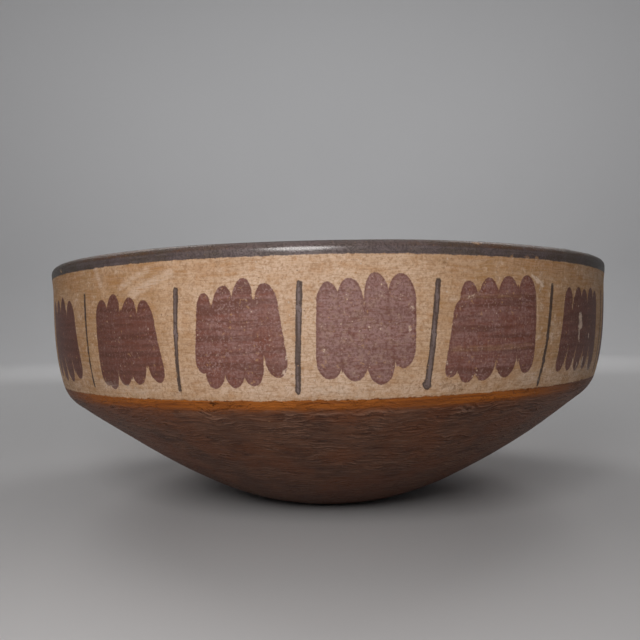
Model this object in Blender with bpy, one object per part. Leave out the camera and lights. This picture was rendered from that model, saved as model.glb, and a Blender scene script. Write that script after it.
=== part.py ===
"""Painted pottery bowl: a wide hollow bowl of one fired body, with a curved underside, a soft shoulder
and an upright wall under a slightly turned-out lip. It stands at rest on the flat spot of its underside.
Metres, +Z up, origin at the centre of that flat spot. The painted wall seen in the photo faces -Y."""

import math

import bpy

# Outside, in the photo's proportions, scaled to a lip 200 mm across.
RIM_RADIUS = 0.0996
WALL_HEIGHT = 0.0420
WALL_LEAN = 0.0044
WALL_POWER = 3.8
SHOULDER_HEIGHT = 0.0408
SHOULDER_SETBACK = 0.0034
UNDERSIDE_POWER = 1.38
FOOT_RADIUS = 0.0266

# The lip turns out a little over its own height and ends in a rounded edge.
LIP_FLARE = 0.0004
LIP_FLARE_HEIGHT = 0.0060
LIP_EDGE_HEIGHT = 0.0021
LIP_THICKNESS = 0.0046

# Inside, which the photo doesn't show: a plain hollow under an even hand-built thickness.
WALL_THICKNESS = 0.0054
UNDERSIDE_THICKNESS = 0.0062
INNER_SETBACK = 0.0110

# What follows from the sizes above.
HEIGHT = SHOULDER_HEIGHT + WALL_HEIGHT
SHOULDER_RADIUS = RIM_RADIUS - WALL_LEAN

# Earth-brown clay under cream, orange and dark brown slip, taken together.
CLAY_COLOUR = (0.40, 0.25, 0.15, 1.0)
CLAY_ROUGHNESS = 0.5

SEGMENTS = 96
UNDERSIDE_STEPS = 9
WALL_STEPS = 8
LIP_STEPS = 8
CORNER_STEPS = 4
FINE = 400
MERGE_DISTANCE = 0.00001


def underside_curve(steps):
    """Outer points (radius, height) from the edge of the flat spot up to the shoulder."""
    points = []
    for i in range(steps + 1):
        t = i / steps
        radius = FOOT_RADIUS + (SHOULDER_RADIUS - FOOT_RADIUS) * t
        points.append((radius, SHOULDER_HEIGHT * t**UNDERSIDE_POWER))
    return points


def wall_radius(height):
    """Outer radius of the wall: it leans out above the shoulder, stands upright, then flares at the lip."""
    s = (height - SHOULDER_HEIGHT) / WALL_HEIGHT
    radius = SHOULDER_RADIUS + WALL_LEAN * (1 - (1 - s) ** WALL_POWER)
    flare_start = HEIGHT - LIP_EDGE_HEIGHT - LIP_FLARE_HEIGHT
    t = min(max((height - flare_start) / LIP_FLARE_HEIGHT, 0), 1)
    return radius + LIP_FLARE * t * t * (3 - 2 * t)


def wall_curve(steps):
    """Outer points (radius, height) from the shoulder up to the base of the rounded lip."""
    rise = WALL_HEIGHT - LIP_EDGE_HEIGHT
    heights = [SHOULDER_HEIGHT + rise * i / steps for i in range(steps + 1)]
    return [(wall_radius(height), height) for height in heights]


def offset_inwards(points, thickness):
    """The same line moved to its left side, which is the inside of the bowl."""
    moved = []
    for i, (radius, height) in enumerate(points):
        before = points[max(i - 1, 0)]
        after = points[min(i + 1, len(points) - 1)]
        run = after[0] - before[0]
        rise = after[1] - before[1]
        length = math.hypot(run, rise)
        moved.append((radius - thickness * rise / length, height + thickness * run / length))
    return moved


def crossing(first, second):
    """Where two lines of points come nearest, as an index into each."""
    best = None
    for i, a in enumerate(first):
        for j, b in enumerate(second):
            gap = math.hypot(a[0] - b[0], a[1] - b[1])
            if best is None or gap < best[0]:
                best = (gap, i, j)
    return best[1], best[2]


def cut_back(points, setback):
    """The line without its last stretch of the given length."""
    left = setback
    for i in range(len(points) - 1, 0, -1):
        left -= math.dist(points[i], points[i - 1])
        if left <= 0:
            return points[:i]
    return points[:1]


def thinned(points, steps):
    """Evenly chosen points of a fine line, both ends kept."""
    last = len(points) - 1
    return [points[round(last * i / steps)] for i in range(steps + 1)]


def joined(first, second, setback):
    """The underside's line and the wall's line made one, with their meeting corner rounded off."""
    i, j = crossing(first, second)
    corner = first[i]
    lower = cut_back(first[: i + 1], setback)
    upper = cut_back(second[j:][::-1], setback)[::-1]
    start, end = lower[-1], upper[0]
    round_off = []
    for k in range(1, CORNER_STEPS):
        t = k / CORNER_STEPS
        weights = ((1 - t) ** 2, 2 * t * (1 - t), t**2)
        radius = weights[0] * start[0] + weights[1] * corner[0] + weights[2] * end[0]
        height = weights[0] * start[1] + weights[1] * corner[1] + weights[2] * end[1]
        round_off.append((radius, height))
    return thinned(lower, UNDERSIDE_STEPS) + round_off + thinned(upper, WALL_STEPS)


def lip_curve(outer, inner):
    """Half an ellipse over the top, between the outer and inner ends of the wall, both left out."""
    middle = (outer[0] + inner[0]) / 2
    half = (outer[0] - inner[0]) / 2
    points = []
    for i in range(1, LIP_STEPS):
        angle = math.pi * i / LIP_STEPS
        points.append((middle + half * math.cos(angle), outer[1] + LIP_EDGE_HEIGHT * math.sin(angle)))
    return points


def inner_wall_curve(outer_end):
    """The wall's inner face, thinning towards the lip, and ending level with the outer face."""
    rise = WALL_HEIGHT - LIP_EDGE_HEIGHT
    points = []
    for radius, height in offset_inwards(wall_curve(FINE), WALL_THICKNESS):
        t = min(max((height - SHOULDER_HEIGHT) / rise, 0), 1)
        points.append((radius + (WALL_THICKNESS - LIP_THICKNESS) * t**3, height))
    points[-1] = (outer_end[0] - LIP_THICKNESS, outer_end[1])
    return points


def section():
    """The whole section (radius, height), from the middle of the underside round to the middle of the floor."""
    underside = underside_curve(FINE)
    outside = joined(underside, wall_curve(FINE), SHOULDER_SETBACK)
    floor = offset_inwards(underside, UNDERSIDE_THICKNESS)
    inside = joined(floor, inner_wall_curve(outside[-1]), INNER_SETBACK)
    turned = outside + lip_curve(outside[-1], inside[-1]) + inside[::-1]
    return [(0, outside[0][1])] + turned + [(0, inside[0][1])]


def fired_clay():
    """One plain material, with the colour of the clay and its slips taken together."""
    material = bpy.data.materials.new("fired_clay")
    material.use_nodes = True
    shader = material.node_tree.nodes["Principled BSDF"]
    shader.inputs["Base Color"].default_value = CLAY_COLOUR
    shader.inputs["Roughness"].default_value = CLAY_ROUGHNESS
    shader.inputs["Metallic"].default_value = 0.0
    return material


def turned_body(name, points, material):
    """The section turned once round the Z axis, as one closed body. A turned line runs down its outer side."""
    mesh = bpy.data.meshes.new(name)
    corners = [(radius, 0, height) for radius, height in reversed(points)]
    edges = [(i, i + 1) for i in range(len(corners) - 1)]
    mesh.from_pydata(corners, edges, [])
    mesh.materials.append(material)
    part = bpy.data.objects.new(name, mesh)
    bpy.context.scene.collection.objects.link(part)
    turn = part.modifiers.new("turn", "SCREW")
    turn.axis = "Z"
    turn.angle = 2 * math.pi
    turn.steps = SEGMENTS
    turn.render_steps = SEGMENTS
    turn.use_merge_vertices = True
    turn.merge_threshold = MERGE_DISTANCE
    turn.use_smooth_shade = True
    return part


for leftover in list(bpy.data.objects):
    bpy.data.objects.remove(leftover)
turned_body("bowl", section(), fired_clay())
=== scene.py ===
"""Looks of the painted pottery bowl: turned, slightly uneven clay under cream slip, with dark brush blots
between thin lines, a dark lip, an orange line on the shoulder and a burnished brown underside."""

import math

import bpy
import numpy as np
from mathutils import Matrix, Vector


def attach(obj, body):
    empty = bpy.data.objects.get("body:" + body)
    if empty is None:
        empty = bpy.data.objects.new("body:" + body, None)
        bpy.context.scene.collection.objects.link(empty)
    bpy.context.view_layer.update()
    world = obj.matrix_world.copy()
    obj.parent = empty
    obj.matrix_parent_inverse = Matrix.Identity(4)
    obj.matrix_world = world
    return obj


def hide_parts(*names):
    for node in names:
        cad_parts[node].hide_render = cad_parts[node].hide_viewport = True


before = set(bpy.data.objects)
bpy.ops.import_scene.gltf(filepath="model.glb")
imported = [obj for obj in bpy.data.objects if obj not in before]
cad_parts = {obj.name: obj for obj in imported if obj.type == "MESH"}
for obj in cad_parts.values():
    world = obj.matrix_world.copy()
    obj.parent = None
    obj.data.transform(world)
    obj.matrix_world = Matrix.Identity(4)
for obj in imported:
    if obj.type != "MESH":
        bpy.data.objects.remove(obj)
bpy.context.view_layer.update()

MM = 0.001

# The clay body, with the sizes of the solid it stands for.
RIM_RADIUS = 99.6 * MM
WALL_HEIGHT = 42.0 * MM
WALL_LEAN = 4.4 * MM
WALL_POWER = 3.8
SHOULDER_HEIGHT = 40.8 * MM
SHOULDER_SETBACK = 3.4 * MM
UNDERSIDE_POWER = 1.38
FOOT_RADIUS = 26.6 * MM
LIP_FLARE = 0.4 * MM
LIP_FLARE_HEIGHT = 6.0 * MM
LIP_EDGE_HEIGHT = 2.1 * MM
LIP_THICKNESS = 4.6 * MM
WALL_THICKNESS = 5.4 * MM
UNDERSIDE_THICKNESS = 6.2 * MM
INNER_SETBACK = 11.0 * MM
HEIGHT = SHOULDER_HEIGHT + WALL_HEIGHT
SHOULDER_RADIUS = RIM_RADIUS - WALL_LEAN
FINE = 600

# Heights of the painted bands outside, and how far the dark lip band laps over the inside.
ORANGE_BOTTOM = 41.8 * MM
CREAM_BOTTOM = 44.5 * MM
BAND_BOTTOM = 79.2 * MM
BAND_INSIDE = 5.0 * MM
PAINT_RADIUS = 98.5 * MM

# Steps round the turned body, and how many millimetres apart its rows lie on each stretch.
TURNS = 800
SPACING = {"underside": 3.4, "shoulder": 1.2, "wall": 0.9, "lip": 0.8, "inside wall": 3.5, "floor": 4.2}
# Ways along the section: from where the stretch of the shoulder starts to the shoulder, from there to
# where the wall's starts, from where the lip's starts to the lip, and from the lip to the floor's.
TO_SHOULDER = 6.0 * MM
TO_WALL = 3.0 * MM
TO_LIP = 2.0 * MM
TO_FLOOR = 36.0 * MM
# How far from the shoulder its slant dies out, how far from the lip its wander and chips do, and how
# far below the orange line the tool facets are at their full depth.
SLANT_REACH = 30.0 * MM
LIP_REACH = 6.0 * MM
FACET_START = 2.0 * MM
# Points closer than this are made one, which closes the turned body.
MERGE_GAP = 0.000002

# The camera: the photo's distance, height, tilt and framing.
CAMERA_BACK = 245.4 * MM
CAMERA_HEIGHT = 62.1 * MM
CAMERA_ROLL = 0.0159
CAMERA_LENS = 34.875
CAMERA_SHIFT = (-0.01375, 0.0107)

FLOAT, VECTOR, COLOUR = "NodeSocketFloat", "NodeSocketVector", "NodeSocketColor"
GEOMETRY, MATERIAL, WHOLE = "NodeSocketGeometry", "NodeSocketMaterial", "NodeSocketInt"


# Node helpers, for both the geometry and the shader trees.
def add(tree, kind, sockets=None, **settings):
    """A new node, with its settings made and its inputs linked or filled in."""
    made = tree.nodes.new(kind)
    for name, value in settings.items():
        setattr(made, name, value)
    for key, value in (sockets or {}).items():
        if isinstance(value, bpy.types.NodeSocket):
            tree.links.new(value, made.inputs[key])
        else:
            made.inputs[key].default_value = value
    return made


def calc(tree, operation, *values):
    """The value of one Math node."""
    return add(tree, "ShaderNodeMath", dict(enumerate(values)), operation=operation).outputs[0]


def plus(tree, first, second):
    return calc(tree, "ADD", first, second)


def minus(tree, first, second):
    return calc(tree, "SUBTRACT", first, second)


def times(tree, first, second):
    return calc(tree, "MULTIPLY", first, second)


def vector_calc(tree, operation, first, second):
    return add(tree, "ShaderNodeVectorMath", {0: first, 1: second}, operation=operation).outputs[0]


def scaled(tree, vector, scale):
    return add(tree, "ShaderNodeVectorMath", {0: vector, "Scale": scale}, operation="SCALE").outputs[0]


def combined(tree, x=0.0, y=0.0, z=0.0):
    return add(tree, "ShaderNodeCombineXYZ", {0: x, 1: y, 2: z}).outputs[0]


def separated(tree, vector):
    return add(tree, "ShaderNodeSeparateXYZ", {0: vector}).outputs


def ramp(tree, value, low, high, to_low=0.0, to_high=1.0):
    """A value eased from one limit to the other."""
    sockets = {0: value, 1: low, 2: high, 3: to_low, 4: to_high}
    return add(tree, "ShaderNodeMapRange", sockets, interpolation_type="SMOOTHSTEP").outputs[0]


def layered(tree, under, over, mask, share=1.0):
    """One colour laid over another by a mask, or by a share of the mask."""
    amount = mask if share == 1.0 else times(tree, mask, share)
    return add(tree, "ShaderNodeMix", {0: amount, 6: under, 7: over}, data_type="RGBA").outputs[2]


def noise(tree, where, scale, detail=2.0, roughness=0.5):
    sockets = {"Vector": where, "Scale": scale, "Detail": detail, "Roughness": roughness}
    return add(tree, "ShaderNodeTexNoise", sockets).outputs[0]


def new_group(kind, name, inputs, outputs):
    """A node group with named sockets, and its input and output nodes."""
    group = bpy.data.node_groups.new(name, kind)
    for label, socket_type, default in inputs:
        socket = group.interface.new_socket(label, in_out="INPUT", socket_type=socket_type)
        if default is not None:
            socket.default_value = default
    for label, socket_type in outputs:
        group.interface.new_socket(label, in_out="OUTPUT", socket_type=socket_type)
    return group, group.nodes.new("NodeGroupInput").outputs, group.nodes.new("NodeGroupOutput").inputs


# The section of the body: the same curves as the solid, drawn finer.
def underside_line():
    t = np.linspace(0, 1, FINE)
    radius = FOOT_RADIUS + (SHOULDER_RADIUS - FOOT_RADIUS) * t
    return np.stack([radius, SHOULDER_HEIGHT * t**UNDERSIDE_POWER], axis=1)


def wall_line():
    height = np.linspace(SHOULDER_HEIGHT, HEIGHT - LIP_EDGE_HEIGHT, FINE)
    s = (height - SHOULDER_HEIGHT) / WALL_HEIGHT
    flare = np.clip((height - HEIGHT + LIP_EDGE_HEIGHT + LIP_FLARE_HEIGHT) / LIP_FLARE_HEIGHT, 0, 1)
    radius = SHOULDER_RADIUS + WALL_LEAN * (1 - (1 - s) ** WALL_POWER)
    return np.stack([radius + LIP_FLARE * flare**2 * (3 - 2 * flare), height], axis=1)


def moved_inwards(line, thickness):
    run, rise = np.gradient(line[:, 0]), np.gradient(line[:, 1])
    length = np.hypot(run, rise)
    return line + thickness * np.stack([-rise / length, run / length], axis=1)


def length_along(line):
    return np.concatenate([[0], np.cumsum(np.hypot(*np.diff(line, axis=0).T))])


def with_soft_corner(first, second, setback):
    """Two lines made one where they meet, with the corner rounded off."""
    gaps = np.hypot(*(first[:, None] - second[None]).transpose(2, 0, 1))
    i, j = np.unravel_index(gaps.argmin(), gaps.shape)
    corner = first[i]
    lower, upper = first[: i + 1], second[j:]
    run = length_along(lower)
    lower = lower[run < run[-1] - setback]
    upper = upper[length_along(upper) > setback]
    t = np.linspace(0, 1, 40)[1:-1, None]
    rounding = lower[-1] * (1 - t) ** 2 + 2 * corner * t * (1 - t) + upper[0] * t**2
    return np.concatenate([lower, rounding, upper])


def body_section():
    """The section (radius, height) in even rows, how far along it each lies, and where its parts end."""
    outside = with_soft_corner(underside_line(), wall_line(), SHOULDER_SETBACK)
    wall_inside = moved_inwards(wall_line(), WALL_THICKNESS)
    rise = np.clip((wall_inside[:, 1] - SHOULDER_HEIGHT) / (WALL_HEIGHT - LIP_EDGE_HEIGHT), 0, 1)
    wall_inside[:, 0] += (WALL_THICKNESS - LIP_THICKNESS) * rise**3
    wall_inside[-1] = outside[-1] - [LIP_THICKNESS, 0]
    floor = moved_inwards(underside_line(), UNDERSIDE_THICKNESS)
    inside = with_soft_corner(floor, wall_inside, INNER_SETBACK)
    turn = np.linspace(0, np.pi, 60)[1:-1]
    middle = outside[-1, 0] - LIP_THICKNESS / 2
    lip_radius = middle + LIP_THICKNESS / 2 * np.cos(turn)
    lip = np.stack([lip_radius, outside[-1, 1] + LIP_EDGE_HEIGHT * np.sin(turn)], axis=1)
    line = np.concatenate([[[0, 0]], outside, lip, inside[::-1], [[0, inside[0, 1]]]])
    along = length_along(line)
    outer = along[: len(outside) + 1]
    heights = line[: len(outside) + 1, 1]
    levels = {
        "shoulder": SHOULDER_HEIGHT,
        "orange bottom": ORANGE_BOTTOM,
        "cream bottom": CREAM_BOTTOM,
        "band bottom": BAND_BOTTOM,
    }
    marks = {name: float(np.interp(level, heights, outer)) for name, level in levels.items()}
    marks["lip start"] = float(outer[-1])
    marks["lip middle"] = float(along[np.argmax(line[:, 1])])
    marks["lip end"] = float(along[len(outside) + 1 + len(lip)])
    stops = [
        (0, "underside"),
        (marks["shoulder"] - TO_SHOULDER, "shoulder"),
        (marks["shoulder"] + TO_WALL, "wall"),
        (marks["lip start"] - TO_LIP, "lip"),
        (marks["lip end"], "inside wall"),
        (marks["lip end"] + TO_FLOOR, "floor"),
    ]
    fine = np.linspace(0, along[-1], 6000)
    gap = np.zeros(len(fine))
    for start, name in stops:
        gap[fine >= start] = SPACING[name] * MM
    count = np.concatenate([[0], np.cumsum((fine[1] - fine[0]) / gap[1:])])
    rows = np.interp(np.linspace(0, count[-1], round(count[-1]) + 1), count, fine)
    section = np.stack([np.interp(rows, along, line[:, 0]), np.interp(rows, along, line[:, 1])], axis=1)
    return section, rows, marks


SECTION, ALONG, MARK = body_section()
MARK_MM = {name: way / MM for name, way in MARK.items()}


def here(tree):
    return add(tree, "GeometryNodeInputPosition").outputs[0]


def way_along(tree):
    """How far along the section each point lies, as stored on it."""
    return add(tree, "GeometryNodeInputNamedAttribute", {"Name": "along"}, data_type="FLOAT").outputs[0]


def taken(tree, value, kind, section, row):
    """What the section line holds at a row."""
    sockets = {"Geometry": section, "Value": value, "Index": row}
    return add(tree, "GeometryNodeSampleIndex", sockets, data_type=kind).outputs[0]


def turning_tree():
    """Turns the section round, then gives it the unevenness of hand work."""
    inputs = [
        ("Section", GEOMETRY, None),
        ("Steps Round", WHOLE, 96),
        ("Sway", FLOAT, 0.0),
        ("Sway Length", FLOAT, 0.05),
        ("Shoulder Tilt", FLOAT, 0.0),
        ("Tool Facets", FLOAT, 0.0),
        ("Lip Wander", FLOAT, 0.0),
        ("Chip Depth", FLOAT, 0.0),
        ("Seed", FLOAT, 0.0),
        ("Outside Finish", MATERIAL, None),
        ("Inside Finish", MATERIAL, None),
    ]
    tree, given, result = new_group("GeometryNodeTree", "turned bowl", inputs, [("Geometry", GEOMETRY)])
    size = add(tree, "GeometryNodeAttributeDomainSize", {"Geometry": given["Section"]}, component="MESH")
    rows = size.outputs["Point Count"]
    columns = plus(tree, given["Steps Round"], 1)
    sockets = {"Size X": 1.0, "Size Y": 1.0, "Vertices X": columns, "Vertices Y": rows}
    grid = add(tree, "GeometryNodeMeshGrid", sockets).outputs["Mesh"]
    where = separated(tree, here(tree))
    turn = times(tree, plus(tree, where[0], 0.5), 2 * math.pi)
    row = calc(tree, "ROUND", times(tree, plus(tree, where[1], 0.5), minus(tree, rows, 1)))
    on_line = separated(tree, taken(tree, here(tree), "FLOAT_VECTOR", given["Section"], row))
    along = taken(tree, way_along(tree), "FLOAT", given["Section"], row)
    # A turn starts and ends at the back, and runs so that the faces look outwards.
    x = times(tree, on_line[0], calc(tree, "SINE", turn))
    y = times(tree, on_line[0], calc(tree, "COSINE", turn))
    sockets = {"Geometry": grid, "Name": "along", "Value": along}
    marked = add(tree, "GeometryNodeStoreNamedAttribute", sockets, data_type="FLOAT").outputs[0]
    sockets = {"Geometry": marked, "Position": combined(tree, x=x, y=y, z=on_line[2])}
    turned = add(tree, "GeometryNodeSetPosition", sockets).outputs[0]
    sockets = {"Geometry": turned, "Distance": MERGE_GAP}
    closed = add(tree, "GeometryNodeMergeByDistance", sockets).outputs[0]

    # Unevenness: the wall sways in and out, the shoulder runs a little aslant, and the lip wanders.
    place = here(tree)
    parts = separated(tree, place)
    run = way_along(tree)
    shifted = vector_calc(tree, "ADD", place, combined(tree, x=given["Seed"]))
    sway_scale = calc(tree, "DIVIDE", 1.0, given["Sway Length"])
    sway = times(tree, minus(tree, noise(tree, shifted, sway_scale, 1.0), 0.5), 2.0)
    sway = times(tree, sway, given["Sway"])
    flat = combined(tree, x=parts[0], y=parts[1])
    outwards = add(tree, "ShaderNodeVectorMath", {0: flat}, operation="NORMALIZE").outputs[0]
    sideways = scaled(tree, outwards, sway)
    near_shoulder = ramp(tree, calc(tree, "ABSOLUTE", minus(tree, run, MARK["shoulder"])), SLANT_REACH, 0.0)
    aslant = times(tree, calc(tree, "DIVIDE", parts[0], SHOULDER_RADIUS), given["Shoulder Tilt"])
    lift = times(tree, aslant, near_shoulder)
    lip_starts = ramp(tree, run, MARK["lip start"] - LIP_REACH, MARK["lip start"])
    lip_ends = ramp(tree, run, MARK["lip end"] + LIP_REACH, MARK["lip end"])
    on_lip = times(tree, lip_starts, lip_ends)
    wander = minus(tree, noise(tree, shifted, 22.0, 2.0), 0.5)
    wander = times(tree, times(tree, wander, given["Lip Wander"]), on_lip)
    lift = plus(tree, lift, wander)
    uneven = vector_calc(tree, "ADD", sideways, combined(tree, z=lift))
    swayed = add(tree, "GeometryNodeSetPosition", {"Geometry": closed, "Offset": uneven}).outputs[0]

    # Tool facets run round the underside, and small chips break the lip.
    stretched = vector_calc(tree, "MULTIPLY", shifted, (45.0, 45.0, 0.0))
    facet_place = vector_calc(tree, "ADD", stretched, combined(tree, z=times(tree, run, 160.0)))
    facets = minus(tree, noise(tree, facet_place, 1.0, 1.0), 0.5)
    below = ramp(tree, run, MARK["cream bottom"], MARK["orange bottom"] - FACET_START)
    facets = times(tree, times(tree, facets, given["Tool Facets"]), below)
    chip_noise = noise(tree, shifted, 210.0, 1.0)
    rare = ramp(tree, noise(tree, shifted, 38.0, 0.0), 0.56, 0.66)
    chips = times(tree, times(tree, ramp(tree, chip_noise, 0.62, 0.72), rare), on_lip)
    depth = minus(tree, facets, times(tree, chips, given["Chip Depth"]))
    normal = add(tree, "GeometryNodeInputNormal").outputs[0]
    inwards = scaled(tree, normal, depth)
    worked = add(tree, "GeometryNodeSetPosition", {"Geometry": swayed, "Offset": inwards}).outputs[0]

    whole = add(tree, "GeometryNodeSetShadeSmooth", {"Geometry": worked}).outputs[0]
    whole = add(tree, "GeometryNodeRealizeInstances", {"Geometry": whole}).outputs[0]
    sockets = {"Geometry": whole, "Material": given["Outside Finish"]}
    coated = add(tree, "GeometryNodeSetMaterial", sockets).outputs[0]
    inner = calc(tree, "GREATER_THAN", run, MARK["lip middle"])
    sockets = {"Geometry": coated, "Selection": inner, "Material": given["Inside Finish"]}
    coated = add(tree, "GeometryNodeSetMaterial", sockets).outputs[0]
    tree.links.new(coated, result["Geometry"])
    return tree


def turned_body(name, outside, inside, **sizes):
    """The body as a plain mesh, from the section line and the turning tree."""
    line = bpy.data.meshes.new(name + "_section")
    corners = [(radius, 0, height) for radius, height in SECTION.tolist()]
    line.from_pydata(corners, [(i, i + 1) for i in range(len(corners) - 1)], [])
    line.attributes.new("along", "FLOAT", "POINT").data.foreach_set("value", ALONG.astype(np.float32))
    carrier = bpy.data.objects.new(name + "_section", line)
    bpy.context.scene.collection.objects.link(carrier)
    tree = turning_tree()
    turn = carrier.modifiers.new("turn", "NODES")
    turn.node_group = tree
    sockets = {item.name: item.identifier for item in tree.interface.items_tree if item.in_out == "INPUT"}
    for label, value in {**sizes, "Outside Finish": outside, "Inside Finish": inside}.items():
        turn[sockets[label]] = value
    graph = bpy.context.evaluated_depsgraph_get()
    turned = carrier.evaluated_get(graph)
    mesh = bpy.data.meshes.new_from_object(turned, preserve_all_data_layers=True, depsgraph=graph)
    bpy.data.objects.remove(carrier)
    mesh.name = name
    body = bpy.data.objects.new(name, mesh)
    bpy.context.scene.collection.objects.link(body)
    return body


# The brush work. A stroke is (angle and height of its top end, of its bottom end, half widths there).
# Angles are degrees round the bowl from the middle of the front, and heights and widths are millimetres.
SEEN_LINES = [
    (-64.4, 72.6, -64.2, 46.6, 0.55, 0.50),
    (-43.0, 72.9, -42.8, 46.1, 0.52, 0.40),
    (-22.3, 72.8, -22.75, 46.2, 0.76, 0.46),
    (-3.9, 73.3, -4.5, 45.8, 0.76, 0.66),
    (15.55, 73.7, 14.1, 46.2, 0.70, 0.86),
    (13.7, 48.6, 13.1, 46.6, 0.35, 0.30),
    (14.6, 48.0, 14.8, 46.9, 0.35, 0.30),
    (37.1, 73.0, 35.0, 45.2, 0.62, 0.50),
    (58.9, 72.6, 58.2, 46.2, 0.55, 0.50),
]
# A seen blot is its strokes, then the notches that its upper and its lower outline make between them.
SEEN_BLOTS = [
    (
        [
            (-60.0, 71.4, -59.2, 47.8, 2.4, 2.3),
            (-56.6, 71.6, -55.3, 46.8, 2.6, 2.5),
            (-53.3, 72.1, -51.4, 47.0, 2.9, 2.9),
            (-49.5, 70.9, -47.4, 48.2, 3.3, 3.2),
        ],
        [(-58.3, 68.6), (-54.9, 68.4), (-51.3, 68.4)],
        [(-57.3, 49.6), (-53.3, 49.2), (-49.4, 49.6)],
    ),
    (
        [
            (-37.9, 70.4, -38.2, 47.0, 3.0, 2.4),
            (-34.7, 71.7, -36.8, 46.1, 2.8, 2.4),
            (-31.0, 70.5, -33.8, 47.4, 3.0, 2.8),
            (-28.6, 66.0, -30.6, 47.8, 2.4, 2.8),
            (-28.6, 69.7, -26.1, 48.5, 2.8, 2.5),
        ],
        [(-36.3, 68.3), (-33.1, 68.1), (-29.9, 67.9)],
        [(-34.9, 49.9), (-32.0, 49.0), (-28.4, 52.0)],
    ),
    (
        [
            (-17.7, 70.9, -18.3, 51.1, 1.8, 2.2),
            (-14.6, 72.5, -16.8, 47.3, 2.5, 2.6),
            (-11.7, 74.1, -13.7, 47.6, 2.5, 2.7),
            (-10.4, 69.0, -10.8, 48.0, 2.4, 2.7),
            (-9.0, 72.8, -7.0, 50.1, 2.8, 2.7),
        ],
        [(-16.5, 68.4), (-13.4, 70.1), (-10.1, 69.6)],
        [(-15.1, 50.2), (-12.3, 49.6), (-9.1, 54.7)],
    ),
    (
        [
            (-0.1, 72.8, 0.1, 49.5, 2.6, 3.4),
            (2.8, 73.7, 3.7, 49.0, 3.1, 3.5),
            (6.4, 74.9, 7.4, 48.0, 2.9, 3.6),
            (10.0, 74.7, 10.5, 51.9, 3.8, 2.9),
        ],
        [(0.9, 71.3), (4.2, 70.4), (7.8, 71.6)],
        [(1.8, 51.2), (5.5, 51.8), (9.6, 51.8)],
    ),
    (
        [
            (19.4, 68.6, 17.6, 49.1, 2.1, 1.8),
            (20.4, 73.0, 20.4, 47.6, 2.7, 2.7),
            (23.9, 73.8, 23.2, 47.9, 3.1, 3.4),
            (27.4, 74.3, 27.3, 48.4, 3.8, 3.3),
            (31.1, 74.7, 31.5, 49.2, 3.5, 2.7),
        ],
        [(21.9, 71.3), (25.5, 72.0), (29.2, 72.4)],
        [(18.9, 49.9), (21.9, 50.4), (25.5, 50.3), (29.5, 51.2)],
    ),
    (
        [
            (42.2, 72.0, 39.9, 48.7, 2.3, 1.9),
            (45.6, 72.3, 42.9, 48.8, 2.5, 2.0),
            (48.0, 71.9, 45.9, 48.4, 2.4, 2.0),
            (51.0, 72.5, 49.3, 48.6, 2.6, 2.2),
            (53.2, 71.8, 53.4, 47.8, 2.2, 2.3),
        ],
        [(43.9, 70.0), (46.8, 69.8), (49.5, 70.0), (52.1, 70.0)],
        [(41.4, 50.6), (44.4, 50.9), (47.6, 51.4), (51.4, 50.6)],
    ),
]
HIDDEN_PANELS = 12
HIDDEN_FROM, HIDDEN_TO = 58.5, 295.6
HIDDEN_SEED = 7
# Where a stroke's end begins to narrow, in half widths, and how full its rounding is.
TOP_END, BOTTOM_END, LINE_END = (2.0, 2.0), (1.6, 2.0), (1.2, 2.0)
# The strokes that fill a blot: half widths at the notch and inside, and the heights where they end inside.
NOTCH_HALF, FILL_HALF = 0.25, 2.2
FILL_LOW, FILL_HIGH = 56.0, 66.0
# Hidden panels: usual ends of a line, and how far apart a blot's outer strokes stand, in degrees.
LINE_TOP, LINE_BOTTOM = 72.8, 46.3
BLOT_SPAN = 11.4
# The distance stored where there is no paint near, in millimetres.
FAR = 30.0


def hidden_painting(rng):
    """Lines and blots on round the back, in keeping with the seen ones and evenly spaced."""
    lines, blots = [], []
    pitch = (HIDDEN_TO - HIDDEN_FROM) / HIDDEN_PANELS
    for k in range(HIDDEN_PANELS):
        start = HIDDEN_FROM + pitch * k
        if k:
            lean = rng.uniform(-0.9, 0.9)
            top = (start + lean, LINE_TOP + rng.uniform(-0.5, 0.5))
            bottom = (start - lean, LINE_BOTTOM + rng.uniform(-0.5, 0.5))
            lines.append(top + bottom + (rng.uniform(0.5, 0.7), rng.uniform(0.4, 0.65)))
        count = int(rng.integers(4, 6))
        step = BLOT_SPAN / (count - 1)
        tilt = rng.uniform(-0.8, 0.8)
        blot = []
        for i in range(count):
            angle = start + pitch / 2 - BLOT_SPAN / 2 + step * i
            top = (angle + tilt + rng.uniform(-0.3, 0.3), rng.uniform(70.8, 74.0))
            bottom = (angle - tilt + rng.uniform(-0.3, 0.3), rng.uniform(47.2, 49.8))
            width = step * 0.9
            blot.append(top + bottom + (width + rng.uniform(0, 0.3), width + rng.uniform(-0.2, 0.3)))
        pairs = list(zip(blot, blot[1:]))
        tops = [((a[0] + b[0]) / 2, min(a[1], b[1]) - rng.uniform(2.2, 3.4)) for a, b in pairs]
        bottoms = [((a[2] + b[2]) / 2, max(a[3], b[3]) + rng.uniform(1.6, 3.2)) for a, b in pairs]
        blots.append((blot, tops, bottoms))
    return lines, blots


def filling(strokes, tops, bottoms):
    """The strokes that close the middle of a blot between its neighbours, ending at the notches."""
    lean = sum((stroke[2] - stroke[0]) / (stroke[3] - stroke[1]) for stroke in strokes) / len(strokes)
    made = []
    for angle, height in tops:
        made.append((angle, height, angle + lean * (FILL_LOW - height), FILL_LOW, NOTCH_HALF, FILL_HALF))
    for angle, height in bottoms:
        made.append((angle + lean * (FILL_HIGH - height), FILL_HIGH, angle, height, FILL_HALF, NOTCH_HALF))
    return made


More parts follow.
